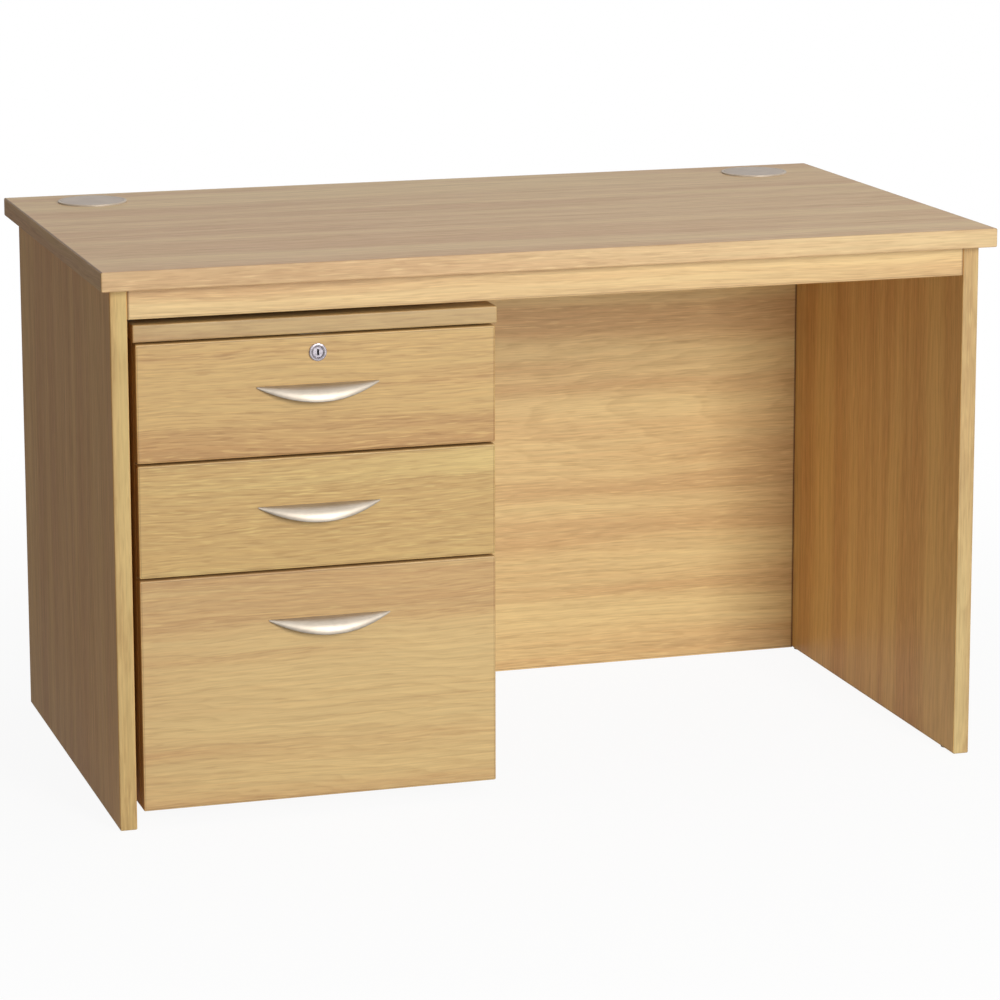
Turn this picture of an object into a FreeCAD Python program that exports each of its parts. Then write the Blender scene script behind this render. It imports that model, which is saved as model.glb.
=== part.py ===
import FreeCAD, Part
import math
import os

# Pedestal desk: a panel-ended writing desk over a rolling three-drawer pedestal.
# Millimetres, +X to the sitter's right, -Y towards the sitter, +Z up, floor at Z = 0.
# The origin is on the floor, under the middle of the desk top.

Vector = FreeCAD.Vector

# Desk top, ends, rail and back
desk_width = 1200.0
desk_depth = 690.0
desk_height = 725.0
top_thickness = 25.0
side_overhang = 15.0
front_overhang = 25.0
back_overhang = 28.0
panel_thickness = 22.0
rail_height = 40.0
rail_thickness = 22.0
back_thickness = 18.0
back_inset = 23.0
edge_round = 2.0
glide_height = 2.0
glide_radius = 9.0
glide_inset = 45.0
glide_pin_radius = 2.0
glide_pin_length = 14.0

# Knock-down fittings
fit_gap = 0.05
dowel_radius = 4.0
dowel_length = 30.0
dowel_short_end = 11.0
cam_radius = 7.5
cam_depth = 12.5
cam_drop = 34.0
cam_inset = 70.0
bolt_radius = 3.4
bolt_tip_radius = 2.5
bolt_tip_length = 11.0
joint_inset = 130.0

# Cable ports
port_end_offset = 110.0
port_back_offset = 78.0
port_hole_radius = 40.0
port_wall = 2.0
port_flange_height = 2.5
port_liner_rise = 3.0
port_rim_width = 3.3
port_rim_round = 1.2
cap_ledge = 6.0
cap_thickness = 1.5
cap_round = 0.4
cap_gap = 0.3
notch_depth = 40.0
notch_corner = 15.0

# Pedestal carcass
pedestal_width = 475.0
pedestal_back_gap = 26.0
pedestal_side_gap = 8.0
pedestal_head_gap = 9.0
pedestal_recess = 10.0
pedestal_top_thickness = 22.0
carcass_inset = 3.0
carcass_thickness = 18.0
floor_clearance = 22.0

# Drawer fronts and boxes
front_thickness = 18.0
front_gap = 3.0
front_stand_off = 2.0
top_front_height = 152.0
middle_front_height = 145.0
drawer_rear_gap = 64.0
drawer_side_thickness = 12.0
drawer_lower_gap = 20.0
drawer_upper_gap = 32.0
file_upper_gap = 26.0
drawer_floor_gap = 14.0
bottom_thickness = 5.0
bottom_lift = 10.0
groove_depth = 6.0
groove_gap = 0.1

# Runners: a rolled channel on the carcass and another on each drawer side
runner_space = 12.7
runner_height = 36.0
runner_lift = 9.0
runner_wall = 1.2
runner_gap = 0.35
runner_set_back = 4.0
runner_rear_gap = 4.0
file_rail_wall = 1.2
file_rail_grip = 12.0
file_rail_lip = 6.0
file_rail_inset = 10.0

# Handles: a bowed shell, straight along the top and drawn to a point at both ends
handle_length = 160.0
handle_reach = 19.0
handle_drop = 20.0
handle_wall = 2.0
handle_top_offset = 62.0
handle_tip_scale = 0.08
handle_section_count = 5
handle_screw_pitch = 64.0
handle_screw_drop = 13.5
handle_boss_radius = 4.0
handle_boss_set_in = 5.5
handle_screw_radius = 2.0
handle_screw_grip = 8.0
file_handle_shift = 12.0
screw_head_radius = 4.0
screw_head_height = 2.5
screw_head_round = 1.5

# Lock
lock_drop = 21.5
lock_bezel_radius = 11.7
lock_bezel_height = 2.4
lock_bezel_round = 1.6
lock_face_recess = 0.8
lock_barrel_radius = 9.5
lock_barrel_tail = 3.0
lock_plug_radius = 7.2
lock_plug_bevel = 0.7
lock_plug_tail = 3.0
lock_gap = 0.05
keyhole_width = 2.6
keyhole_height = 7.6
keyhole_depth = 8.0
cam_plate_thickness = 2.0
cam_plate_half_width = 6.0
cam_plate_clearance = 3.0
strike_thickness = 1.5
strike_width = 40.0
strike_foot = 14.0
strike_gap = 0.5
strike_clearance = 2.0

# Castors
castor_head = 15.0
castor_margin = 8.0
castor_trail = 14.0
castor_plate_size = 44.0
castor_plate_thickness = 2.5
wheel_radius = 20.0
wheel_width = 8.0
wheel_round = 2.5
wheel_gap = 0.4
wheel_cheek = 1.2
hood_width = 11.0
hood_set_in = 3.0
hood_neck_height = 13.0
boss_radius = 9.0
stem_radius = 4.0
stem_clearance = 0.5
axle_radius = 2.5
running_gap = 0.03
end_gap = 0.3

# Places worked out from the sizes above: (low, high) spans along each axis
top_x = (-desk_width / 2, desk_width / 2)
top_y = (-desk_depth / 2, desk_depth / 2)
top_z = (desk_height - top_thickness, desk_height)
left_panel_x = (top_x[0] + side_overhang, top_x[0] + side_overhang + panel_thickness)
right_panel_x = (-left_panel_x[1], -left_panel_x[0])
knee_x = (left_panel_x[1], right_panel_x[0])
panel_y = (top_y[0] + front_overhang, top_y[1] - back_overhang)
panel_z = (glide_height, top_z[0])
rail_y = (panel_y[0], panel_y[0] + rail_thickness)
rail_z = (top_z[0] - rail_height, top_z[0])
back_y = (panel_y[1] - back_inset - back_thickness, panel_y[1] - back_inset)
port_y = top_y[1] - port_back_offset
port_bore_radius = port_hole_radius - fit_gap - port_wall
cap_radius = port_bore_radius + cap_ledge
port_flange_radius = cap_radius + cap_gap + port_rim_width
port_liner_depth = top_thickness - port_liner_rise
port_xs = {"left": top_x[0] + port_end_offset, "right": top_x[1] - port_end_offset}

pedestal_x = (knee_x[0] + pedestal_side_gap, knee_x[0] + pedestal_side_gap + pedestal_width)
carcass_x = (pedestal_x[0] + carcass_inset, pedestal_x[1] - carcass_inset)
cavity_x = (carcass_x[0] + carcass_thickness, carcass_x[1] - carcass_thickness)
pedestal_mid = (pedestal_x[0] + pedestal_x[1]) / 2
face_y = panel_y[0] + pedestal_recess
front_y = (face_y, face_y + front_thickness)
pedestal_y = (face_y, back_y[0] - pedestal_back_gap)
carcass_y = (front_y[1] + front_stand_off, pedestal_y[1])
pedestal_back_y = (pedestal_y[1] - carcass_thickness, pedestal_y[1])
pedestal_top_z = (rail_z[0] - pedestal_head_gap - pedestal_top_thickness, rail_z[0] - pedestal_head_gap)
carcass_z = (floor_clearance, pedestal_top_z[0])
castor_height = 2 * wheel_radius + castor_head
stem_length = castor_head - castor_plate_thickness - stem_clearance
base_z = (castor_height, castor_height + carcass_thickness)

top_front_z = (pedestal_top_z[0] - front_gap - top_front_height, pedestal_top_z[0] - front_gap)
middle_front_z = (top_front_z[0] - front_gap - middle_front_height, top_front_z[0] - front_gap)
file_front_z = (floor_clearance, middle_front_z[0] - front_gap)
drawer_x = (cavity_x[0] + runner_space, cavity_x[1] - runner_space)
drawer_inner_x = (drawer_x[0] + drawer_side_thickness, drawer_x[1] - drawer_side_thickness)
drawer_y = (front_y[1], pedestal_back_y[0] - drawer_rear_gap)
drawer_back_y = (drawer_y[1] - drawer_side_thickness, drawer_y[1])
runner_y = (carcass_y[0] + runner_set_back, drawer_y[1] - runner_rear_gap)

# Each drawer: the span of its front, and the span of its sides
drawers = {
    "top": (top_front_z, (top_front_z[0] + drawer_lower_gap, top_front_z[1] - drawer_upper_gap)),
    "middle": (middle_front_z, (middle_front_z[0] + drawer_lower_gap, middle_front_z[1] - drawer_upper_gap)),
    "file": (file_front_z, (base_z[1] + drawer_floor_gap, file_front_z[1] - file_upper_gap)),
}

lock_z = top_front_z[1] - lock_drop
lock_barrel_end = front_y[1] + lock_barrel_tail
cam_plate_y = (lock_barrel_end + lock_plug_tail, lock_barrel_end + lock_plug_tail + cam_plate_thickness)

castor_swing = math.hypot(castor_trail + wheel_radius, hood_width / 2 + wheel_gap + wheel_width)
castor_offset = castor_swing + castor_margin
castors = {
    "front_left": (cavity_x[0] + castor_offset, carcass_y[0] + castor_offset),
    "front_right": (cavity_x[1] - castor_offset, carcass_y[0] + castor_offset),
    "rear_left": (cavity_x[0] + castor_offset, pedestal_back_y[0] - castor_offset),
    "rear_right": (cavity_x[1] - castor_offset, pedestal_back_y[0] - castor_offset),
}

nodes = {}


def block(x, y, z):
    """A square-edged solid over three (low, high) spans."""
    return Part.makeBox(x[1] - x[0], y[1] - y[0], z[1] - z[0], Vector(x[0], y[0], z[0]))


def board(x, y, z):
    """A faced board: a block with its sharp edges rounded off."""
    solid = block(x, y, z)
    return solid.makeFillet(edge_round, solid.Edges)


def rod(radius, start, axis, length):
    """A round bar from a start point along an axis."""
    return Part.makeCylinder(radius, length, Vector(*start), Vector(*axis))


def spread(span, inset, count):
    """Evenly spaced places along a span, starting and ending an inset from its ends."""
    step = (span[1] - span[0] - 2 * inset) / (count - 1)
    return [span[0] + inset + i * step for i in range(count)]


def middle(span):
    """The middle of a span."""
    return (span[0] + span[1]) / 2


def drill(names, tools):
    """Cut every tool solid out of each named piece."""
    for name in names:
        nodes[name] = nodes[name].cut(Part.makeCompound(tools))


class Dowels:
    """Glued round dowels, and the slightly wider holes that they need."""

    def __init__(self):
        self.pegs = []
        self.holes = []

    def add(self, point, axis):
        """A dowel whose short end is along the axis from the joint face at a point."""
        direction = Vector(*axis)
        start = Vector(*point) - direction * (dowel_length - dowel_short_end)
        self.pegs.append(rod(dowel_radius, start, axis, dowel_length))
        self.holes.append(rod(dowel_radius + fit_gap, start - direction * fit_gap, axis,
                              dowel_length + 2 * fit_gap))


def desk_boards():
    """The top, two full-height ends, the front rail and the back, before drilling."""
    nodes["desk_top"] = board(top_x, top_y, top_z)
    nodes["left_side_panel"] = board(left_panel_x, panel_y, panel_z)
    nodes["right_side_panel"] = board(right_panel_x, panel_y, panel_z)
    nodes["front_rail"] = board(knee_x, rail_y, rail_z)
    back = block(knee_x, back_y, panel_z)
    for x in port_xs.values():
        back = back.cut(cable_notch(x))
    nodes["back_panel"] = back


def cable_notch(x):
    """A round-cornered gap in the back's upper edge, under a cable port."""
    span = (x - port_flange_radius, x + port_flange_radius)
    gap = block(span, back_y, (top_z[0] - notch_depth, top_z[0] + notch_depth))
    upright = [e for e in gap.Edges if e.BoundBox.YLength > back_thickness / 2]
    return gap.makeFillet(notch_corner, upright)


def cable_port(side, x):
    """A flanged liner in the top, and the flat cap that lifts out of it."""
    liner_radius = port_hole_radius - fit_gap
    seat_z = desk_height + port_flange_height - cap_thickness
    foot = (x, port_y, desk_height - port_liner_depth)
    liner = rod(liner_radius, foot, (0, 0, 1), port_liner_depth)
    flange = rod(port_flange_radius, (x, port_y, desk_height), (0, 0, 1), port_flange_height)
    rim = max(flange.Edges, key=lambda e: e.BoundBox.ZMin)
    liner = liner.fuse(flange.makeFillet(port_rim_round, [rim]))
    liner = liner.cut(rod(port_bore_radius, foot, (0, 0, 1), port_liner_depth + port_flange_height))
    liner = liner.cut(rod(cap_radius + cap_gap, (x, port_y, seat_z), (0, 0, 1), port_flange_height))
    nodes[side + "_port_liner"] = liner.removeSplitter()

    cap = rod(cap_radius, (x, port_y, seat_z), (0, 0, 1), cap_thickness)
    rim = max(cap.Edges, key=lambda e: e.BoundBox.ZMin)
    nodes[side + "_port_cap"] = cap.makeFillet(cap_round, [rim])

    hole = rod(port_hole_radius, (x, port_y, top_z[0]), (0, 0, 1), top_thickness)
    drill(["desk_top"], [hole])


def desk_fittings():
    """Dowels at every board joint, cam locks under the top, and glides on the floor."""
    dowels = Dowels()
    cams = []
    bolts = []
    glides = []
    holes = []
    for span, outward in ((left_panel_x, -1), (right_panel_x, 1)):
        panel_mid = middle(span)
        inner_face = span[1] if outward < 0 else span[0]
        for y in spread(panel_y, joint_inset, 2):
            dowels.add((panel_mid, y, top_z[0]), (0, 0, 1))
        for z in spread(rail_z, rail_height / 4, 2):
            dowels.add((inner_face, middle(rail_y), z), (outward, 0, 0))
        for z in spread(panel_z, joint_inset, 3):
            dowels.add((inner_face, middle(back_y), z), (outward, 0, 0))
        for y in spread(panel_y, cam_inset, 2):
            cam_z = top_z[0] - cam_drop
            cam_start = (inner_face, y, cam_z)
            cams.append(rod(cam_radius, cam_start, (outward, 0, 0), cam_depth))
            holes.append(rod(cam_radius + fit_gap, cam_start, (outward, 0, 0), cam_depth + fit_gap))
            bolt_x = inner_face + outward * cam_depth / 2
            bolt_z = cam_z + cam_radius + fit_gap
            bolt = rod(bolt_radius, (bolt_x, y, bolt_z), (0, 0, 1), top_z[0] - bolt_z)
            tip = rod(bolt_tip_radius, (bolt_x, y, top_z[0]), (0, 0, 1), bolt_tip_length)
            bolts.append(bolt.fuse(tip))
            holes.append(rod(bolt_radius + fit_gap, (bolt_x, y, cam_z), (0, 0, 1), top_z[0] - cam_z))
            holes.append(rod(bolt_tip_radius + fit_gap, (bolt_x, y, top_z[0]), (0, 0, 1),
                             bolt_tip_length + fit_gap))
        for y in spread(panel_y, glide_inset, 2):
            disc = rod(glide_radius, (panel_mid, y, 0), (0, 0, 1), glide_height)
            pin = rod(glide_pin_radius, (panel_mid, y, glide_height), (0, 0, 1), glide_pin_length)
            glides.append(disc.fuse(pin))
            holes.append(rod(glide_pin_radius + fit_gap, (panel_mid, y, glide_height), (0, 0, 1),
                             glide_pin_length + fit_gap))
    nodes["desk_dowels"] = Part.makeCompound(dowels.pegs)
    nodes["cam_locks"] = Part.makeCompound(cams)
    nodes["cam_bolts"] = Part.makeCompound(bolts)
    nodes["floor_glides"] = Part.makeCompound(glides)
    boards = ["desk_top", "left_side_panel", "right_side_panel", "front_rail", "back_panel"]
    drill(boards, dowels.holes + holes)


def pedestal_carcass():
    """The pedestal's top, sides, base and back, dowelled together."""
    left_x = (carcass_x[0], cavity_x[0])
    right_x = (cavity_x[1], carcass_x[1])
    inner_y = (carcass_y[0], pedestal_back_y[0])
    nodes["pedestal_top"] = board(pedestal_x, pedestal_y, pedestal_top_z)
    nodes["pedestal_left_side"] = board(left_x, carcass_y, carcass_z)
    nodes["pedestal_right_side"] = board(right_x, carcass_y, carcass_z)
    nodes["pedestal_base"] = block(cavity_x, inner_y, base_z)
    nodes["pedestal_back"] = block(cavity_x, pedestal_back_y, carcass_z)

    dowels = Dowels()
    for span, inner_face, outward in ((left_x, cavity_x[0], -1), (right_x, cavity_x[1], 1)):
        for y in spread(carcass_y, joint_inset, 2):
            dowels.add((middle(span), y, pedestal_top_z[0]), (0, 0, 1))
        for y in spread(inner_y, joint_inset, 2):
            dowels.add((inner_face, y, middle(base_z)), (outward, 0, 0))
        for z in spread(carcass_z, joint_inset, 2):
            dowels.add((inner_face, middle(pedestal_back_y), z), (outward, 0, 0))
    nodes["pedestal_dowels"] = Part.makeCompound(dowels.pegs)
    carcass = ["pedestal_top", "pedestal_left_side", "pedestal_right_side", "pedestal_base", "pedestal_back"]
    drill(carcass, dowels.holes)


def runner_span(side, near, far):
    """The X span of a runner piece, from its distances off the carcass wall."""
    if side == "left":
        return (cavity_x[0] + near, cavity_x[0] + far)
    return (cavity_x[1] - far, cavity_x[1] - near)


def runner_bar(side, near, far, hollows, z_mid, height):
    """A rolled runner member: a bar with channels hollowed between its flanges."""
    z = (z_mid - height / 2, z_mid + height / 2)
    bar = block(runner_span(side, near, far), runner_y, z)
    inner_z = (z[0] + runner_wall, z[1] - runner_wall)
    for low, high in hollows:
        bar = bar.cut(block(runner_span(side, low, high), runner_y, inner_z))
    return bar


def runners():
    """Two-member runners on the upper drawers, and a three-member pair on the file drawer."""
    nested_height = runner_height - 2 * runner_wall - 2 * runner_gap
    core_height = nested_height - 2 * runner_wall - 2 * runner_gap
    web = runner_wall
    flange = runner_space - 2 * web - 2 * runner_gap
    tracks = []
    for name in ("top", "middle"):
        z_mid = drawers[name][1][0] + runner_lift + runner_height / 2
        members = []
        for side in ("left", "right"):
            track_far = web + flange
            tracks.append(runner_bar(side, 0, track_far, [(web, track_far)], z_mid, runner_height))
            near = 2 * web + runner_gap
            members.append(runner_bar(side, near, runner_space, [(near, runner_space - web)], z_mid,
                                      nested_height))
        nodes[name + "_drawer_runners"] = Part.makeCompound(members)
    nodes["upper_runner_tracks"] = Part.makeCompound(tracks)

    z_mid = drawers["file"][1][0] + runner_lift + runner_height / 2
    half = runner_space / 2
    track_far = half - web
    tracks = []
    middles = []
    members = []
    for side in ("left", "right"):
        tracks.append(runner_bar(side, 0, track_far, [(web, track_far)], z_mid, runner_height))
        near = web + runner_gap
        far = runner_space - web - runner_gap
        web_span = (half - web / 2, half + web / 2)
        middles.append(runner_bar(side, near, far, [(near, web_span[0]), (web_span[1], far)], z_mid,
                                  nested_height))
        core_near = web_span[1] + runner_gap
        members.append(runner_bar(side, core_near, runner_space, [(core_near, runner_space - web)], z_mid,
                                  core_height))
    nodes["file_runner_tracks"] = Part.makeCompound(tracks)
    nodes["file_runner_middles"] = Part.makeCompound(middles)
    nodes["file_drawer_runners"] = Part.makeCompound(members)


def drawer_box(name, front_z, side_z):
    """A drawer: a faced front, two sides and a back, with a thin bottom held in grooves."""
    prefix = name + "_drawer_"
    nodes[prefix + "front"] = board(carcass_x, front_y, front_z)
    nodes[prefix + "left_side"] = block((drawer_x[0], drawer_inner_x[0]), drawer_y, side_z)
    nodes[prefix + "right_side"] = block((drawer_inner_x[1], drawer_x[1]), drawer_y, side_z)
    nodes[prefix + "back"] = block(drawer_inner_x, drawer_back_y, side_z)
    grip = groove_depth - groove_gap
    x = (drawer_inner_x[0] - grip, drawer_inner_x[1] + grip)
    y = (drawer_y[0] - grip, drawer_back_y[0] + grip)
    z = (side_z[0] + bottom_lift, side_z[0] + bottom_lift + bottom_thickness)
    nodes[prefix + "bottom"] = block(x, y, z)
    groove = block(*[(low - groove_gap, high + groove_gap) for low, high in (x, y, z)])
    drill([prefix + "front", prefix + "left_side", prefix + "right_side", prefix + "back"], [groove])


def shell_wire(x, middle_x, top):
    """The shell's section: a bow out and down to a round lip, and the same bow back one wall inside."""
    share = 1 - (2 * (x - middle_x) / handle_length) ** 2
    scale = handle_tip_scale + (1 - handle_tip_scale) * share
    reach = handle_reach * scale
    drop = handle_drop * scale
    wall = handle_wall * scale
    sine = math.sin(math.pi / 4)

    def point(out, down):
        return Vector(x, face_y - out, top - down)

    root = point(0, 0)
    lip = point(reach, drop)
    lip_back = point(reach - wall, drop)
    seat_foot = point(0, wall)
    outer = Part.Arc(root, point(reach * sine, drop * (1 - sine)), lip)
    nose = Part.Arc(lip, point(reach - wall / 2, drop + wall / 2), lip_back)
    inner = Part.Arc(lip_back, point((reach - wall) * sine, drop - (drop - wall) * sine), seat_foot)
    return Part.Wire([outer.toShape(), nose.toShape(), inner.toShape(), Part.makeLine(seat_foot, root)])


def handle(name, front_z):
    """A lofted shell with two tapped bosses behind it, and the screws that hold it."""
    middle_x = pedestal_mid + (file_handle_shift if name == "file" else 0)
    top = front_z[1] - handle_top_offset
    span = (middle_x - handle_length / 2, middle_x + handle_length / 2)
    sections = [shell_wire(x, middle_x, top) for x in spread(span, 0, handle_section_count)]
    shell = Part.makeLoft(sections, True)
    screws = []
    holes = []
    tapped = []
    for x in (middle_x - handle_screw_pitch / 2, middle_x + handle_screw_pitch / 2):
        z = top - handle_screw_drop
        boss_length = handle_reach - handle_boss_set_in
        shell = shell.fuse(rod(handle_boss_radius, (x, face_y, z), (0, -1, 0), boss_length))
        shank = rod(handle_screw_radius, (x, front_y[1], z), (0, -1, 0), front_thickness + handle_screw_grip)
        head = rod(screw_head_radius, (x, front_y[1], z), (0, 1, 0), screw_head_height)
        rim = max(head.Edges, key=lambda e: e.BoundBox.YMin)
        screws.append(shank.fuse(head.makeFillet(screw_head_round, [rim])))
        holes.append(rod(handle_screw_radius + fit_gap, (x, front_y[1], z), (0, -1, 0), front_thickness))
        tap_depth = handle_screw_grip + fit_gap
        tapped.append(rod(handle_screw_radius + fit_gap, (x, face_y, z), (0, -1, 0), tap_depth))
    nodes[name + "_drawer_handle"] = shell.cut(Part.makeCompound(tapped))
    nodes[name + "_handle_screws"] = Part.makeCompound(screws)
    drill([name + "_drawer_front"], holes)


def file_rails():
    """Steel strips clipped over the file drawer's sides, with a lip for hanging files."""
    side_z = drawers["file"][1]
    y = (drawer_y[0] + file_rail_inset, drawer_back_y[0] - file_rail_inset)
    rails = []
    for side_x, lip_x in (
        ((drawer_x[0], drawer_inner_x[0]), drawer_inner_x[0]),
        ((drawer_inner_x[1], drawer_x[1]), drawer_inner_x[1] - file_rail_wall),
    ):
        low = side_x[0] - file_rail_wall
        high = side_x[1] + file_rail_wall
        cover = block((low, high), y, (side_z[1] - file_rail_grip, side_z[1] + file_rail_wall))
        lip = block((lip_x, lip_x + file_rail_wall), y, (side_z[1], side_z[1] + file_rail_lip))
        gap = block(side_x, y, (side_z[1] - file_rail_grip, side_z[1]))
        rails.append(cover.fuse(lip).cut(gap).removeSplitter())
    nodes["file_rails"] = Part.makeCompound(rails)


def lock():
    """A cam lock in the top drawer front, and the strike that its cam turns up behind."""
    centre = (pedestal_mid, face_y, lock_z)
    front_end = face_y - lock_bezel_height
    bezel = rod(lock_bezel_radius, centre, (0, -1, 0), lock_bezel_height)
    rim = min(bezel.Edges, key=lambda e: e.BoundBox.YMax)
    bezel = bezel.makeFillet(lock_bezel_round, [rim])
    barrel = bezel.fuse(rod(lock_barrel_radius, centre, (0, 1, 0), lock_barrel_end - face_y))
    plug_face = front_end + lock_face_recess
    bore_start = (pedestal_mid, front_end, lock_z)
    plug_start = (pedestal_mid, plug_face, lock_z)
    barrel = barrel.cut(rod(lock_plug_radius + lock_gap, bore_start, (0, 1, 0), lock_barrel_end - front_end))
    nodes["lock_barrel"] = barrel
    drill(["top_drawer_front"], [rod(lock_barrel_radius + fit_gap, centre, (0, 1, 0), front_thickness)])

    plug = rod(lock_plug_radius, plug_start, (0, 1, 0), cam_plate_y[0] - plug_face)
    plug_rim = min(plug.Edges, key=lambda e: e.BoundBox.YMax)
    plug = plug.makeChamfer(lock_plug_bevel, [plug_rim])
    slot_x = (pedestal_mid - keyhole_width / 2, pedestal_mid + keyhole_width / 2)
    slot_z = (lock_z - keyhole_height / 2, lock_z + keyhole_height / 2)
    nodes["lock_plug"] = plug.cut(block(slot_x, (plug_face, plug_face + keyhole_depth), slot_z))

    cam_length = pedestal_top_z[0] - lock_z - cam_plate_clearance
    cam_start = (pedestal_mid, cam_plate_y[0], lock_z)
    disc = rod(cam_plate_half_width, cam_start, (0, 1, 0), cam_plate_thickness)
    tongue = block((pedestal_mid, pedestal_mid + cam_length), cam_plate_y,
                   (lock_z - cam_plate_half_width, lock_z + cam_plate_half_width))
    reach = rod(cam_length, cam_start, (0, 1, 0), cam_plate_thickness)
    nodes["lock_cam"] = disc.fuse(tongue.common(reach)).removeSplitter()

    leg_y = (cam_plate_y[0] - strike_gap - strike_thickness, cam_plate_y[0] - strike_gap)
    leg_z = (lock_z + cam_plate_half_width + strike_clearance, pedestal_top_z[0])
    strike_x = (pedestal_mid - strike_width / 2, pedestal_mid + strike_width / 2)
    leg = block(strike_x, leg_y, leg_z)
    foot = block(strike_x, (leg_y[0], leg_y[0] + strike_foot), (leg_z[1] - strike_thickness, leg_z[1]))
    nodes["strike_plate"] = leg.fuse(foot).removeSplitter()


def castor_plate(x, y):
    """A square plate under the pedestal base, with the stem that the castor turns on."""
    half = castor_plate_size / 2
    plate_z = (castor_height - castor_plate_thickness, castor_height)
    plate = block((x - half, x + half), (y - half, y + half), plate_z)
    upright = [e for e in plate.Edges if e.BoundBox.ZLength > castor_plate_thickness / 2]
    plate = plate.makeFillet(stem_radius, upright)
    return plate.fuse(rod(stem_radius, (x, y, plate_z[0]), (0, 0, -1), stem_length))


def castor_hood(x, y):
    """The swivelling centre of a twin-wheel castor, with its axle."""
    top = castor_height - castor_plate_thickness - end_gap
    stem_end = castor_height - castor_plate_thickness - stem_length
    axle = (y + castor_trail, wheel_radius)
    span = (x - hood_width / 2, x + hood_width / 2)
    hood = rod(wheel_radius - hood_set_in, (span[0], axle[0], axle[1]), (1, 0, 0), hood_width)
    neck_z = (stem_end - hood_neck_height, stem_end)
    hood = hood.fuse(block(span, (y - boss_radius, axle[0]), neck_z))
    hood = hood.fuse(rod(boss_radius, (x, y, stem_end - end_gap), (0, 0, 1), top - stem_end + end_gap))
    hood = hood.cut(rod(stem_radius + running_gap, (x, y, stem_end - end_gap), (0, 0, 1), castor_height))
    reach = hood_width / 2 + wheel_gap + wheel_width - wheel_cheek - end_gap
    pin = rod(axle_radius, (x - reach, axle[0], axle[1]), (1, 0, 0), 2 * reach)
    return hood.fuse(pin).removeSplitter()


def castor_wheels(x, y):
    """A pair of wheels, each blind-bored from its inner face for the axle."""
    axle = (y + castor_trail, wheel_radius)
    pair = []
    for outward in (-1, 1):
        start = (x + outward * (hood_width / 2 + wheel_gap), axle[0], axle[1])
        wheel = rod(wheel_radius, start, (outward, 0, 0), wheel_width)
        rims = [e for e in wheel.Edges if e.BoundBox.XLength < wheel_width / 2]
        wheel = wheel.makeFillet(wheel_round, rims)
        bore = rod(axle_radius + running_gap, start, (outward, 0, 0), wheel_width - wheel_cheek)
        pair.append(wheel.cut(bore))
    return Part.makeCompound(pair)


def castor_set():
    """Four castors under the pedestal base."""
    nodes["castor_plates"] = Part.makeCompound([castor_plate(*place) for place in castors.values()])
    for name, place in castors.items():
        nodes[name + "_castor_hood"] = castor_hood(*place)
        nodes[name + "_castor_wheels"] = castor_wheels(*place)


desk_boards()
for port_side, port_x in port_xs.items():
    cable_port(port_side, port_x)
desk_fittings()
pedestal_carcass()
runners()
for drawer_name, (drawer_front_z, drawer_side_z) in drawers.items():
    drawer_box(drawer_name, drawer_front_z, drawer_side_z)
    handle(drawer_name, drawer_front_z)
file_rails()
lock()
castor_set()

os.makedirs("parts", exist_ok=True)
for node_name, shape in nodes.items():
    shape.exportStep(os.path.join("parts", node_name + ".step"))
print(len(nodes), "nodes")
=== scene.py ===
"""Pedestal desk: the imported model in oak, nickel, steel and plastic, with studio light and a camera."""

import bpy
import numpy as np
from mathutils import Matrix, Vector


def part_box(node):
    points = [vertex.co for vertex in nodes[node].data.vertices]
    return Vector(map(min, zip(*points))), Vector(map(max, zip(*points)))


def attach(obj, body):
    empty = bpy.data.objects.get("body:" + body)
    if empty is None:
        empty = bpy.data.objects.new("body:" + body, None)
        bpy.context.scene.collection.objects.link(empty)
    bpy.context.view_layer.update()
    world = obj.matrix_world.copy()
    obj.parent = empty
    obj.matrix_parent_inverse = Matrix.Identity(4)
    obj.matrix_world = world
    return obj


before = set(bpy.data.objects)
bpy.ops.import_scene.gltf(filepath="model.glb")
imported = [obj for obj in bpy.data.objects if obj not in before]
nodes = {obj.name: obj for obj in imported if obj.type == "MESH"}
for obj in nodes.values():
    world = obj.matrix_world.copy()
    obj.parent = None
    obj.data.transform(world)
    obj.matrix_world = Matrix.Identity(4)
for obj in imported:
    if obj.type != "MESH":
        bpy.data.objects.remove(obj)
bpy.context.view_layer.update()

AXES = {"x": 0, "y": 1, "z": 2}
WHITE = (1.0, 1.0, 1.0, 1.0)


def linear(red, green, blue):
    """A colour written in 0 to 255 screen values, as the linear RGBA that a socket takes."""
    screen = np.array([red, green, blue]) / 255.0
    light = np.where(screen <= 0.04045, screen / 12.92, ((screen + 0.055) / 1.055) ** 2.4)
    return (*light.tolist(), 1.0)


def grey(value):
    """A neutral linear RGBA."""
    return (value, value, value, 1.0)


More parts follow.
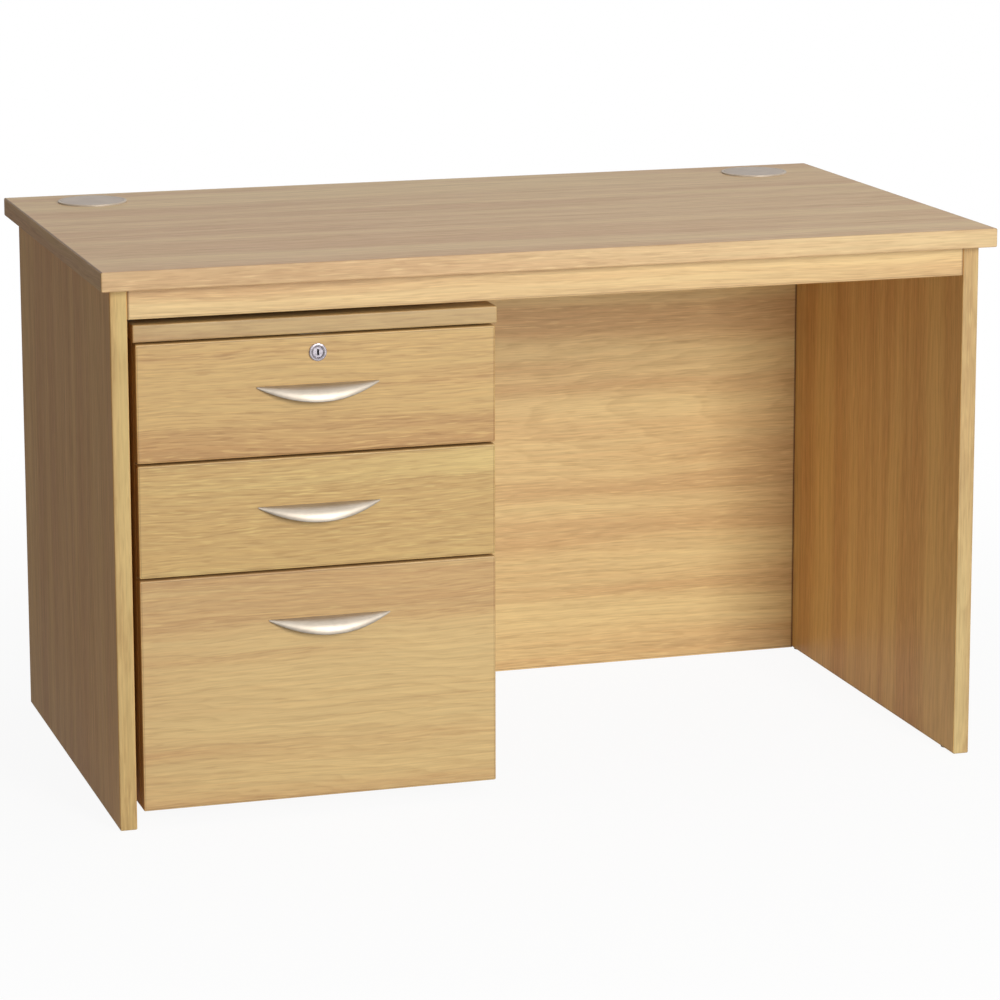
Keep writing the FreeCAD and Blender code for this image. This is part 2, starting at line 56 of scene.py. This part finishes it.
class Net:
    """Adds shader nodes to a tree. Each input is a plain value or another node's output socket."""

    def __init__(self, tree):
        self.tree = tree

    def feed(self, socket, value):
        if isinstance(value, bpy.types.NodeSocket):
            self.tree.links.new(value, socket)
        else:
            socket.default_value = value

    def add(self, kind, inputs, **settings):
        node = self.tree.nodes.new(kind)
        for name, value in settings.items():
            setattr(node, name, value)
        for key, value in inputs.items():
            self.feed(node.inputs[key], value)
        return node

    def place(self):
        return self.add("ShaderNodeTexCoord", {}).outputs["Object"]

    def math(self, operation, first, second=0.0, third=0.0):
        node = self.add("ShaderNodeMath", {0: first, 1: second, 2: third}, operation=operation)
        return node.outputs[0]

    def hypotenuse(self, first, second):
        squares = [self.math("POWER", side, 2.0) for side in (first, second)]
        return self.math("SQRT", self.math("ADD", *squares))

    def vector(self, operation, first, second=(0.0, 0.0, 0.0)):
        node = self.add("ShaderNodeVectorMath", {0: first, 1: second}, operation=operation)
        return node.outputs[0]

    def split(self, vector):
        return self.add("ShaderNodeSeparateXYZ", {0: vector}).outputs

    def join(self, x, y, z):
        return self.add("ShaderNodeCombineXYZ", {0: x, 1: y, 2: z}).outputs[0]

    def noise(self, vector, scale, detail=2.0, roughness=0.5):
        inputs = {"Vector": vector, "Scale": scale, "Detail": detail, "Roughness": roughness}
        return self.add("ShaderNodeTexNoise", inputs).outputs["Fac"]

    def ease(self, value, low, high, start=0.0, end=1.0):
        inputs = {0: value, 1: low, 2: high, 3: start, 4: end}
        node = self.add("ShaderNodeMapRange", inputs, interpolation_type="SMOOTHSTEP")
        return node.outputs[0]

    def mix(self, factor, first, second, blend="MIX"):
        node = self.add("ShaderNodeMix", {0: factor, 6: first, 7: second}, data_type="RGBA", blend_type=blend)
        return node.outputs[2]

    def bump(self, strength, distance, height):
        inputs = {"Strength": strength, "Distance": distance, "Height": height}
        return self.add("ShaderNodeBump", inputs).outputs[0]

    def group(self, tree, inputs):
        return self.add("ShaderNodeGroup", inputs, node_tree=tree).outputs


def new_group(name, inputs, outputs):
    """An empty node group with its sockets, and the two nodes that they appear on."""
    tree = bpy.data.node_groups.new(name, "ShaderNodeTree")
    for socket, kind in inputs:
        tree.interface.new_socket(socket, in_out="INPUT", socket_type="NodeSocket" + kind)
    for socket, kind in outputs:
        tree.interface.new_socket(socket, in_out="OUTPUT", socket_type="NodeSocket" + kind)
    return tree, tree.nodes.new("NodeGroupInput").outputs, tree.nodes.new("NodeGroupOutput").inputs


def new_material(name):
    """A material, a net on its tree, and the inputs of its Principled shader."""
    material = bpy.data.materials.new(name)
    material.use_nodes = True
    tree = material.node_tree
    return material, Net(tree), tree.nodes["Principled BSDF"].inputs


def dress(node, material):
    """Gives a CAD node one material."""
    nodes[node].data.materials.clear()
    nodes[node].data.materials.append(material)


def oak_group():
    """Oak as a decor print: slow bands, veins and rings that sway along the board, under fibres, pores and flecks.

    Vector is in metres from the board's middle, X along the grain, Y across the face and Z through the board.
    Pith is the log's centre line: how steeply it tilts through the board, and its place across and behind it.
    """
    tree, given, result = new_group(
        "oak_figure",
        [("Vector", "Vector"), ("Seed", "Vector"), ("Pith", "Vector"), ("Ring Width", "Float"),
         ("Ring Strength", "Float"), ("Pore Strength", "Float"), ("Pale", "Color"), ("Warm", "Color"),
         ("Dark", "Color")],
        [("Color", "Color"), ("Roughness", "Float"), ("Height", "Float")])
    net = Net(tree)

    def figure(place, along_grain, across_grain, detail, roughness=0.5):
        """Noise with this many cycles per metre along the grain and across it."""
        stretched = net.vector("MULTIPLY", place, (along_grain, across_grain, across_grain))
        return net.noise(stretched, 1.0, detail, roughness)

    # The grain leans slowly to one side and the other, with a small ripple on top.
    along, across, _ = net.split(given["Vector"])
    shifted = net.vector("ADD", given["Vector"], given["Seed"])
    sway = figure(shifted, 2.0, 6.0, 2.0)
    ripple = figure(shifted, 9.0, 40.0, 2.0)
    lean = net.math("MULTIPLY_ADD", sway, 0.036, net.math("MULTIPLY", ripple, 0.0026))
    flow = net.vector("ADD", shifted, net.join(0.0, lean, 0.0))

    # Growth rings: the share of a ring's width that the distance from the pith has come, darkest in late wood.
    tilt, pith_across, pith_depth = net.split(given["Pith"])
    depth = net.math("MULTIPLY_ADD", along, tilt, pith_depth)
    side = net.math("SUBTRACT", net.math("ADD", across, lean), pith_across)
    uneven = net.math("MULTIPLY_ADD", ripple, 0.02, net.hypotenuse(side, depth))
    season = net.math("FRACT", net.math("DIVIDE", uneven, given["Ring Width"]))
    ring = net.math("MULTIPLY", net.math("POWER", season, 2.5), net.ease(season, 1.0, 0.86))

    bands = figure(flow, 0.7, 18.0, 3.0, 0.55)
    veins = figure(flow, 1.7, 130.0, 3.0, 0.62)
    fibres = figure(flow, 8.0, 500.0, 2.0, 0.6)
    dashes = figure(flow, 30.0, 430.0, 1.0)
    pores = net.math("MULTIPLY", net.ease(dashes, 0.55, 0.70), net.ease(bands, 0.25, 0.60, 0.4, 1.0))
    flecks = net.math("MULTIPLY", net.ease(dashes, 0.46, 0.30), net.ease(veins, 0.35, 0.65, 0.35, 1.0))

    colour = net.mix(net.ease(bands, 0.36, 0.64), given["Pale"], given["Warm"])
    colour = net.mix(net.math("MULTIPLY", ring, given["Ring Strength"]), colour, given["Dark"])
    colour = net.mix(net.ease(veins, 0.48, 0.74, 0.0, 0.20), colour, given["Dark"])
    colour = net.mix(net.math("MULTIPLY", pores, given["Pore Strength"]), colour, given["Dark"])
    bright = net.mix(1.0, given["Pale"], (1.12, 1.12, 1.10, 1.0), "MULTIPLY")
    fleck_strength = net.math("MULTIPLY", given["Pore Strength"], 1.7)
    colour = net.mix(net.math("MULTIPLY", flecks, fleck_strength), colour, bright)
    value = net.ease(fibres, 0.30, 0.70, 0.93, 1.06)
    net.feed(result["Color"], net.mix(1.0, colour, net.join(value, value, value), "MULTIPLY"))
    net.feed(result["Roughness"], net.ease(fibres, 0.3, 0.7, 0.46, 0.38))
    net.feed(result["Height"], net.math("SUBTRACT", fibres, pores))
    return tree


oak = oak_group()
PALE_OAK, WARM_OAK, DARK_OAK = linear(221, 190, 135), linear(205, 165, 115), linear(164, 122, 76)
# The dark glue colour, also used for the painted shade along the joints at the boards' ends.
GLUE_AND_SHADE = linear(120, 84, 48)
BAND_THICKNESS = 0.0024
FACING = 0.7    # a surface faces an axis where its normal has more than this share along it


def oak_board(node, grain, face, seed, pith, faces, edges=None, ends=None, shine=0.5, matt=1.0, ring_width=0.011,
              ring_strength=0.24, pore_strength=0.26, end_shade=0.0):
    """Oak on one board. grain and face are the axes along its grain and across the grain on its two faces.

    Its ends carry bands with the grain along the face axis. faces, edges and ends are tints of its two faces, its
    long edges and its ends, which paint in light and shade: how brightly each side is lit, not a colour of the oak
    itself.
    Faces and bands meet at a thin dark glue line. pith is as in oak_group, and seed moves the figure. shine is how
    much its lacquer reflects, matt how much rougher it is than the decor's own finish, and end_shade how dark a
    painted shade is on its faces along the joint at their ends.
    """
    material, net, surface = new_material("oak_" + node)
    low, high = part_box(node)
    centre, half = (low + high) / 2, (high - low) / 2
    coordinates = net.add("ShaderNodeTexCoord", {}).outputs
    place = net.split(net.vector("SUBTRACT", coordinates["Object"], tuple(centre)))
    normal = net.split(coordinates["Normal"])
    depth = (set(AXES) - {grain, face}).pop()

    def facing(axis):
        return net.math("GREATER_THAN", net.math("ABSOLUTE", normal[AXES[axis]]), FACING)

    def run(*order):
        return net.join(*[place[AXES[axis]] for axis in order])

    on_end, on_face = facing(grain), facing(depth)
    spot = net.add("ShaderNodeMix", {0: on_end, 4: run(grain, face, depth), 5: run(face, depth, grain)},
                   data_type="VECTOR")
    decor = net.group(oak, {
        "Vector": spot.outputs[1], "Seed": (seed * 3.7, seed * 1.3, seed * 2.1), "Pith": pith,
        "Ring Width": ring_width, "Ring Strength": ring_strength, "Pore Strength": pore_strength,
        "Pale": PALE_OAK, "Warm": WARM_OAK, "Dark": DARK_OAK})

    # How far a spot is inside the ends and the long edges, for the glue line and the painted shade along the joints
    # at the ends.
    inside = [net.math("SUBTRACT", half[AXES[a]], net.math("ABSOLUTE", place[AXES[a]])) for a in (grain, face)]
    off_glue = net.math("ABSOLUTE", net.math("SUBTRACT", net.math("MINIMUM", *inside), BAND_THICKNESS))
    glue_line = net.ease(off_glue, 0.0006, 0.0002, 0.0, 0.4)
    # Painted shade on the faces along the joints at their ends.
    joint_shade = net.ease(inside[0], 0.0026, 0.0012, 0.0, end_shade)
    glue_and_joint_shade = net.math("MULTIPLY", net.math("MAXIMUM", glue_line, joint_shade), on_face)
    # Tints that paint in light and shade on the faces, long edges and ends, under the glue line and the painted
    # joint shade.
    painted_light_and_glue = net.mix(on_face, (*(edges or faces), 1.0), (*faces, 1.0))
    painted_light_and_glue = net.mix(on_end, painted_light_and_glue, (*(ends or faces), 1.0))
    painted_light_and_glue = net.mix(glue_and_joint_shade, painted_light_and_glue, GLUE_AND_SHADE)
    net.feed(surface["Specular IOR Level"], shine)
    net.feed(surface["Base Color"], net.mix(1.0, decor["Color"], painted_light_and_glue, "MULTIPLY"))
    net.feed(surface["Roughness"], net.math("MULTIPLY", decor["Roughness"], matt))
    net.feed(surface["Normal"], net.bump(0.12, 0.0003, decor["Height"]))
    dress(node, material)


# The tints paint in light and shade board by board: darker faces and ends, as on the left side panel's outer face,
# the pedestal's left side and the drawer fronts' ends, stand for shade, lighter ones for light, and the desk top's
# paler, bluer tint is a painted sheen. Their joint settings paint shade along the joints at their ends.
DRAWER_END_SHADE = (0.60, 0.55, 0.46)
oak_board("desk_top", "x", "y", 1.0, (0.05, 0.42, 0.20),
          (1.07, 1.09, 1.26), (0.96, 1.01, 1.11), (0.78, 0.65, 0.50), matt=1.25, end_shade=0.9)
oak_board("left_side_panel", "z", "y", 2.0, (0.06, 0.35, 0.20),
          (0.98, 0.79, 0.55), (0.83, 0.86, 0.81), (0.83, 0.86, 0.81), shine=0.1)
oak_board("right_side_panel", "z", "y", 3.0, (0.06, -0.38, 0.20),
          (1.06, 0.96, 0.75), (0.82, 0.86, 0.84), (0.82, 0.86, 0.84), shine=0.3)
oak_board("front_rail", "x", "z", 4.0, (0.02, 0.30, 0.10), (0.97, 1.0, 1.02), end_shade=0.7)
oak_board("back_panel", "x", "z", 5.0, (-0.10, 0.05, 0.16),
          (1.07, 1.14, 1.15), (1.0, 1.0, 1.0), (1.0, 1.0, 1.0),
          ring_width=0.013, ring_strength=0.26, pore_strength=0.28, end_shade=0.9)
oak_board("pedestal_top", "x", "y", 6.0, (0.06, 0.40, 0.12),
          (0.92, 0.90, 0.84), (0.70, 0.68, 0.65), (0.66, 0.62, 0.56))
oak_board("top_drawer_front", "x", "z", 7.0, (0.10, 0.34, 0.12),
          (0.79, 0.74, 0.62), (0.83, 0.78, 0.67), DRAWER_END_SHADE, pore_strength=0.42)
oak_board("middle_drawer_front", "x", "z", 8.0, (-0.12, -0.20, 0.12),
          (0.88, 0.93, 0.78), (0.88, 0.89, 0.76), DRAWER_END_SHADE, pore_strength=0.34)
oak_board("file_drawer_front", "x", "z", 9.0, (0.16, -0.26, 0.12),
          (0.85, 0.85, 0.80), (0.89, 0.89, 0.82), DRAWER_END_SHADE)
oak_board("pedestal_left_side", "z", "y", 10.0, (0.06, 0.36, 0.13),
          (0.76, 0.72, 0.62), (0.62, 0.58, 0.48), (0.76, 0.72, 0.62))
oak_board("pedestal_right_side", "z", "y", 11.0, (0.06, -0.35, 0.12),
          (0.86, 0.84, 0.74), (0.82, 0.80, 0.70), (0.86, 0.84, 0.74))
oak_board("pedestal_back", "z", "x", 12.0, (0.06, 0.33, 0.12), (0.88, 0.86, 0.76))
oak_board("pedestal_base", "x", "y", 13.0, (0.06, 0.33, 0.12), (0.88, 0.86, 0.76))


def mottle_group():
    """A surface that varies slightly: a soft blotch, fine lines drawn along one axis, and a grain for relief."""
    tree, given, result = new_group(
        "mottle",
        [("Vector", "Vector"), ("Blotch Scale", "Float"), ("Line Stretch", "Vector"), ("Grain Scale", "Float")],
        [("Blotch", "Float"), ("Lines", "Float"), ("Grain", "Float")])
    net = Net(tree)
    blotch = net.noise(given["Vector"], given["Blotch Scale"], 3.0, 0.55)
    lines = net.noise(net.vector("MULTIPLY", given["Vector"], given["Line Stretch"]), 1.0, 2.0, 0.6)
    grain = net.noise(given["Vector"], given["Grain Scale"], 2.0, 0.6)
    net.feed(result["Blotch"], net.ease(blotch, 0.3, 0.7))
    net.feed(result["Lines"], net.ease(lines, 0.3, 0.7))
    net.feed(result["Grain"], grain)
    return tree


mottle = mottle_group()


def finish_of(name, dark, light, metallic, rough, blotch=60.0, lines=(300.0, 300.0, 300.0), grain=1500.0,
              relief=0.08):
    """A material that runs from dark to light with the mottle group's masks, and between two roughnesses."""
    material, net, surface = new_material(name)
    masks = net.group(mottle, {"Vector": net.place(), "Blotch Scale": blotch, "Line Stretch": lines,
                               "Grain Scale": grain})
    tone = net.math("MULTIPLY_ADD", masks["Lines"], 0.5, net.math("MULTIPLY", masks["Blotch"], 0.5))
    net.feed(surface["Metallic"], metallic)
    net.feed(surface["Base Color"], net.mix(tone, dark, light))
    net.feed(surface["Roughness"], net.ease(masks["Lines"], 0.0, 1.0, *rough))
    net.feed(surface["Normal"], net.bump(relief, 0.0002, masks["Grain"]))
    return material


satin_nickel = finish_of("satin_nickel", linear(172, 162, 149), linear(192, 183, 170), 1.0, (0.46, 0.54),
                         40.0, (30.0, 900.0, 900.0), 900.0, 0.04)
zinc = finish_of("zinc_steel", linear(158, 162, 166), linear(198, 201, 203), 1.0, (0.32, 0.46), 120.0)
satin_silver = finish_of("satin_silver", linear(154, 140, 127), linear(174, 160, 147), 0.7, (0.44, 0.52), 50.0)
port_rim = finish_of("port_rim", linear(186, 172, 156), linear(202, 190, 175), 0.25, (0.44, 0.52), 50.0)
black_plastic = finish_of("black_plastic", linear(24, 24, 25), linear(36, 36, 37), 0.0, (0.42, 0.52), 70.0)
wheel_plastic = finish_of("wheel_plastic", linear(38, 38, 40), linear(54, 54, 56), 0.0, (0.5, 0.62), 90.0)
hardboard = finish_of("hardboard", linear(176, 140, 98), linear(198, 164, 120), 0.0, (0.55, 0.7), 25.0,
                      (160.0, 160.0, 160.0), 800.0, 0.15)
drawer_board = finish_of("drawer_board", linear(206, 186, 154), linear(224, 206, 176), 0.0, (0.45, 0.55), 12.0,
                         (420.0, 9.0, 420.0), 900.0, 0.06)
beech = finish_of("beech", linear(196, 156, 112), linear(216, 180, 138), 0.0, (0.5, 0.6), 40.0,
                  (500.0, 500.0, 30.0), 900.0)


def lock_chrome():
    """Brushed chrome with a painted shade ring where the bezel steps down to the plug, and painted shade in the
    lock's keyhole and in the gap around its plug.
    """
    # The radius of a painted shade ring where the bezel steps down to the plug, and the near-black painted shade
    # inside the keyhole and the gap around the plug.
    gap, ring_shade_radius, keyhole = 0.0002, 0.0082, (0.012, 0.011, 0.012, 1.0)
    material, net, surface = new_material("lock_chrome")
    low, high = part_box("lock_plug")
    centre = (low + high) / 2
    place = net.place()
    masks = net.group(mottle, {"Vector": place, "Blotch Scale": 250.0, "Line Stretch": (2500.0, 400.0, 400.0),
                               "Grain Scale": 2200.0})
    x, y, z = net.split(net.vector("SUBTRACT", place, (centre[0], low[1], centre[2])))
    radius = net.hypotenuse(x, z)
    in_plug = net.math("LESS_THAN", radius, (high[0] - low[0]) / 2 + gap)
    # Painted shade on spots sunk behind the plug's face: the keyhole and the gap round the plug.
    recess_shade = net.math("MULTIPLY", net.ease(y, 0.00005, 0.0012), in_plug)
    # A painted shade ring where the bezel steps down to the plug.
    off_ring_shade = net.math("ABSOLUTE", net.math("SUBTRACT", radius, ring_shade_radius))
    ring = net.ease(off_ring_shade, 0.0012, 0.0004, 0.0, 0.7)
    plain = net.mix(masks["Lines"], linear(196, 190, 200), linear(212, 207, 216))
    with_ring_shade = net.mix(ring, plain, linear(104, 98, 98))
    net.feed(surface["Metallic"], 1.0)
    net.feed(surface["Base Color"], net.mix(recess_shade, with_ring_shade, keyhole))
    net.feed(surface["Roughness"], net.ease(masks["Blotch"], 0.0, 1.0, 0.24, 0.34))
    net.feed(surface["Normal"], net.bump(0.02, 0.0001, masks["Grain"]))
    return material


fittings = {
    lock_chrome(): ["lock_barrel", "lock_plug"],
    satin_nickel: ["top_drawer_handle", "middle_drawer_handle", "file_drawer_handle"],
    zinc: ["cam_locks", "cam_bolts", "strike_plate", "lock_cam", "castor_plates", "file_rails",
           "upper_runner_tracks", "file_runner_tracks", "file_runner_middles", "top_drawer_runners",
           "middle_drawer_runners", "file_drawer_runners", "top_handle_screws", "middle_handle_screws",
           "file_handle_screws"],
    port_rim: ["left_port_liner", "right_port_liner"],
    satin_silver: ["left_port_cap", "right_port_cap"],
    black_plastic: ["floor_glides"] + [n for n in nodes if n.endswith("_castor_hood")],
    wheel_plastic: [n for n in nodes if n.endswith("_castor_wheels")],
    hardboard: [n for n in nodes if n.endswith("_drawer_bottom")],
    drawer_board: [n for n in nodes if n.endswith(("_drawer_left_side", "_drawer_right_side", "_drawer_back"))],
    beech: ["desk_dowels", "pedestal_dowels"],
}
for material, names in fittings.items():
    for name in names:
        dress(name, material)


def pan_heads(name, body, spots):
    """Cross-recessed screw heads on a runner's web. spots holds each one's place, and -1 or 1 for the way it faces.

    At radius r a head stands tall * sqrt(1 - 0.8 (r / reach)^2) off the web, then drops straight to it. Where the
    nearer of the two offsets from its middle is under half a slot and the farther is under a slot's length, both
    softened, it is sunk by the recess.
    """
    reach, tall, recess, slot_half, slot_length = 0.0034, 0.0018, 0.0010, 0.00045, 0.0019
    turns = 48
    radii = np.array([0.0003, 0.0006, 0.0009, 0.0012, 0.0015, 0.0018, 0.0020, 0.0023, 0.0028, 0.0032, reach])
    angle = np.arange(turns) * 2.0 * np.pi / turns
    r, a = np.meshgrid(radii, angle, indexing="ij")
    u, v = r * np.cos(a), r * np.sin(a)

    def soft_edge(distance, limit):
        step = np.clip((distance / limit - 0.7) / 0.6, 0.0, 1.0)
        return 1.0 - step * step * (3.0 - 2.0 * step)

    near, far = np.minimum(abs(u), abs(v)), np.maximum(abs(u), abs(v))
    sunk = recess * soft_edge(near, slot_half) * soft_edge(far, slot_length)
    height = tall * np.sqrt(1.0 - 0.8 * (r / reach) ** 2) - sunk
    rings = np.stack([height, u, v], axis=-1).reshape(-1, 3)
    skirt = np.stack([np.zeros(turns), u[-1], v[-1]], axis=-1)
    head = np.vstack([[[tall - recess, 0.0, 0.0]], rings, skirt, [[0.0, 0.0, 0.0]]])

    # A fan closes the top at point 0 and the bottom at the last point, and walls join each ring to the next.
    here = np.arange(turns)
    after = (here + 1) % turns
    last = len(head) - 1
    bottom = last - turns
    fans = np.vstack([np.stack([np.zeros_like(here), 1 + here, 1 + after], axis=-1),
                      np.stack([np.full_like(here, last), bottom + after, bottom + here], axis=-1)])
    starts = 1 + turns * np.arange(len(radii))[:, None]
    walls = np.stack([starts + here, starts + turns + here, starts + turns + after, starts + after], axis=-1)

    spots = np.array(spots)
    ways = spots[:, 3, None, None]
    points = head * np.where([True, False, False], ways, 1.0) + spots[:, None, :3]

    def on_all_heads(faces):
        """One head's faces on every head, in reverse order where a head faces the other way."""
        numbered = faces + len(head) * np.arange(len(spots))[:, None, None]
        return np.where(ways > 0, numbered, numbered[..., ::-1]).reshape(-1, faces.shape[-1]).tolist()

    mesh = bpy.data.meshes.new(name)
    mesh.from_pydata(points.reshape(-1, 3).tolist(), [], on_all_heads(fans) + on_all_heads(walls.reshape(-1, 4)))
    mesh.materials.append(zinc)
    mesh.shade_smooth()
    piece = bpy.data.objects.new(name, mesh)
    bpy.context.scene.collection.objects.link(piece)
    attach(piece, body)


WEB = 0.0012                               # thickness of the runners' steel
SCREW_SHARES = (0.08, 0.36, 0.64, 0.92)    # where the screws sit along a runner
left_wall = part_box("pedestal_left_side")[1][0]
right_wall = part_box("pedestal_right_side")[0][0]
for drawer in ("top", "middle", "file"):
    left_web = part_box(drawer + "_drawer_left_side")[0][0] - WEB
    right_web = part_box(drawer + "_drawer_right_side")[1][0] + WEB
    low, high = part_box(drawer + "_drawer_runners")
    rows = [low[1] + share * (high[1] - low[1]) for share in SCREW_SHARES]
    level = (low[2] + high[2]) / 2
    pan_heads(drawer + "_runner_screws", drawer + "_drawer",
              [(web, y, level, way) for web, way in ((left_web, -1), (right_web, 1)) for y in rows])
    pan_heads(drawer + "_track_screws", "pedestal",
              [(wall, y, level, way) for wall, way in ((left_wall + WEB, 1), (right_wall - WEB, -1)) for y in rows])


def studio_floor():
    """A wide white floor that glows to the camera, more with distance, so only the desk's own shadow shows on it.

    To the left of the desk it throws less light back, and reflections see it as a mid grey.
    """
    reach = 40.0
    mesh = bpy.data.meshes.new("studio_floor")
    corners = [(-reach, -reach, 0.0), (reach, -reach, 0.0), (reach, reach, 0.0), (-reach, reach, 0.0)]
    mesh.from_pydata(corners, [], [(0, 1, 2, 3)])
    floor = bpy.data.objects.new("studio_floor", mesh)
    bpy.context.scene.collection.objects.link(floor)
    material, net, surface = new_material("studio_floor")
    tree = material.node_tree
    place = net.place()
    away = net.add("ShaderNodeVectorMath", {0: place}, operation="LENGTH").outputs["Value"]
    path = net.add("ShaderNodeLightPath", {}).outputs
    bounce = net.ease(net.split(place)[0], -0.85, -0.5, 0.68, 1.0)
    paleness = net.math("MAXIMUM", path["Is Camera Ray"], bounce)
    net.feed(surface["Roughness"], 0.9)
    net.feed(surface["Base Color"], net.mix(paleness, grey(0.1), grey(0.9)))
    paint = tree.nodes["Principled BSDF"].outputs[0]
    glow = net.add("ShaderNodeEmission", {"Color": WHITE, "Strength": 1.0}).outputs[0]
    mirrored = net.add("ShaderNodeEmission", {"Color": (0.5, 0.49, 0.48, 1.0), "Strength": bounce}).outputs[0]
    share = net.add("ShaderNodeMix", {0: path["Is Camera Ray"], 2: net.math("MULTIPLY", bounce, 0.2),
                                      3: net.ease(away, 0.5, 2.2, 0.93, 1.0)}).outputs[0]
    lit = net.add("ShaderNodeMixShader", {0: share, 1: paint, 2: glow}).outputs[0]
    whole = net.add("ShaderNodeMixShader", {0: path["Is Glossy Ray"], 1: lit, 2: mirrored}).outputs[0]
    net.feed(tree.nodes["Material Output"].inputs["Surface"], whole)
    mesh.materials.append(material)


def studio_world():
    """White to the camera. Reflections see white above and behind, dimmer low down in front and at the left.

    The soft fill that lights the desk halves towards the left.
    """
    world = bpy.data.worlds.new("studio")
    bpy.context.scene.world = world
    world.use_nodes = True
    tree = world.node_tree
    net = Net(tree)
    towards = net.split(net.add("ShaderNodeTexCoord", {}).outputs["Generated"])
    front = net.ease(towards[1], -0.1, -0.7)
    left = net.ease(towards[0], -0.3, -0.8)
    low = net.ease(towards[2], 0.55, 0.15)
    dim = net.math("MULTIPLY", net.math("MAXIMUM", front, left), low)
    path = net.add("ShaderNodeLightPath", {}).outputs
    mirrored = net.mix(dim, WHITE, (0.32, 0.30, 0.28, 1.0))
    fill = net.mix(net.ease(towards[0], 0.0, -0.6), grey(0.20), grey(0.10))
    unseen = net.mix(path["Is Glossy Ray"], fill, mirrored)
    net.feed(tree.nodes["Background"].inputs["Color"], net.mix(path["Is Camera Ray"], unseen, WHITE))


def softbox(name, place, target, width, height, power, colour):
    """A rectangular lamp aimed at a point."""
    lamp = bpy.data.lights.new(name, "AREA")
    lamp.shape = "RECTANGLE"
    lamp.size = width
    lamp.size_y = height
    lamp.energy = power
    lamp.color = colour
    holder = bpy.data.objects.new(name, lamp)
    holder.location = place
    holder.rotation_euler = (Vector(target) - Vector(place)).to_track_quat("-Z", "Y").to_euler()
    bpy.context.scene.collection.objects.link(holder)


def photo_camera(place, yaw, pitch, roll, lens, shift):
    """A camera from its place and its turns, in radians, to the right, downwards and about its own axis."""
    ahead = np.array([np.sin(yaw) * np.cos(pitch), np.cos(yaw) * np.cos(pitch), -np.sin(pitch)])
    right = np.array([np.cos(yaw), -np.sin(yaw), 0.0])
    up = np.cross(right, ahead)
    level = np.cos(roll) * right + np.sin(roll) * up
    upright = np.cos(roll) * up - np.sin(roll) * right
    turn = Matrix(np.column_stack([level, upright, -ahead]).tolist()).to_4x4()
    data = bpy.data.cameras.new("photo_camera")
    data.lens = lens
    data.sensor_width = 36.0
    data.shift_y = shift
    data.clip_end = 100.0
    camera = bpy.data.objects.new("photo_camera", data)
    camera.matrix_world = Matrix.Translation(place) @ turn
    bpy.context.scene.collection.objects.link(camera)
    bpy.context.scene.camera = camera


studio_floor()
studio_world()
softbox("key", place=(1.0, -5.0, 1.95), target=(0.0, 0.0, 0.4), width=1.3, height=1.9, power=195.0,
        colour=(1.0, 0.98, 0.95))
softbox("overhead", place=(0.4, -0.4, 3.6), target=(0.0, 0.0, 0.4), width=2.6, height=2.0, power=21.0,
        colour=(1.0, 1.0, 1.0))
photo_camera(place=(-1.4925, -4.9044, 1.4721), yaw=0.298944, pitch=0.185989, roll=-0.001943, lens=137.2, shift=-0.13)
bpy.context.scene.view_settings.view_transform = "Standard"
